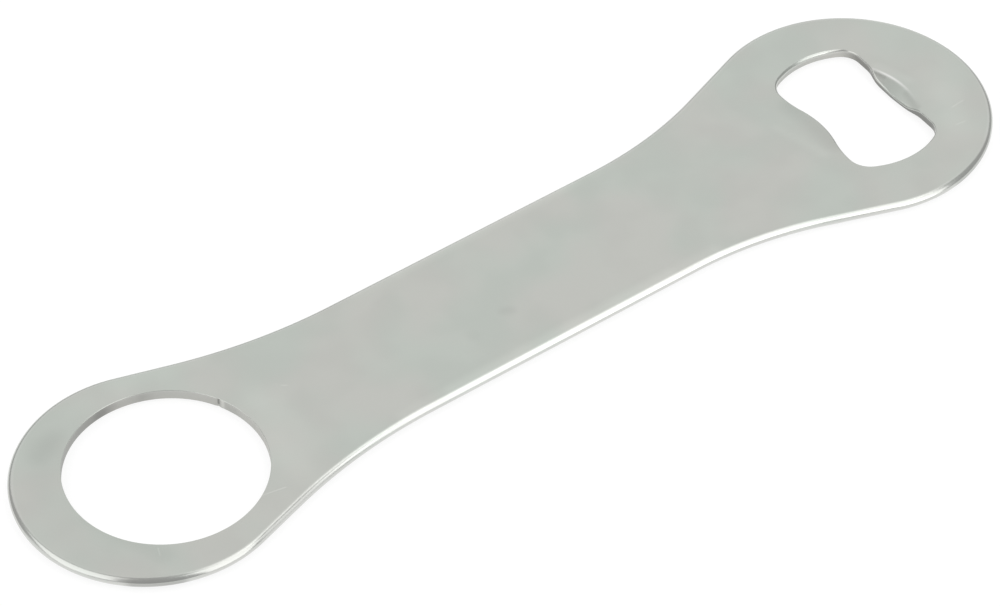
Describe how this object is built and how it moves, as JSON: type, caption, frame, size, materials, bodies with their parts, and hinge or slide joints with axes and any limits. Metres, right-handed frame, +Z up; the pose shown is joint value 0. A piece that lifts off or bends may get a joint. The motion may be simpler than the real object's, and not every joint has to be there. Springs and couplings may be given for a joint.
{
  "type": "bottle opener",
  "caption": "Flat dog-bone bottle opener stamped from stainless sheet, with a ring hole for a finger or hook and a cap window with a pressed lip.",
  "frame": {"origin": "below the middle of the length, at the height of the pressed lip's lowest point, which the blade lies on", "axes": "+X along the blade from the ring hole to the cap window, +Y across it, +Z up through the sheet, away from the pressed side of the lip"},
  "size_m": [0.1802, 0.0464, 0.0022],
  "materials": {
    "satin_steel": "satin stainless steel with tumbled, brighter edges"
  },
  "bodies": {
    "root": {"opener_blade": "satin_steel"}
  },
  "joints": []
}
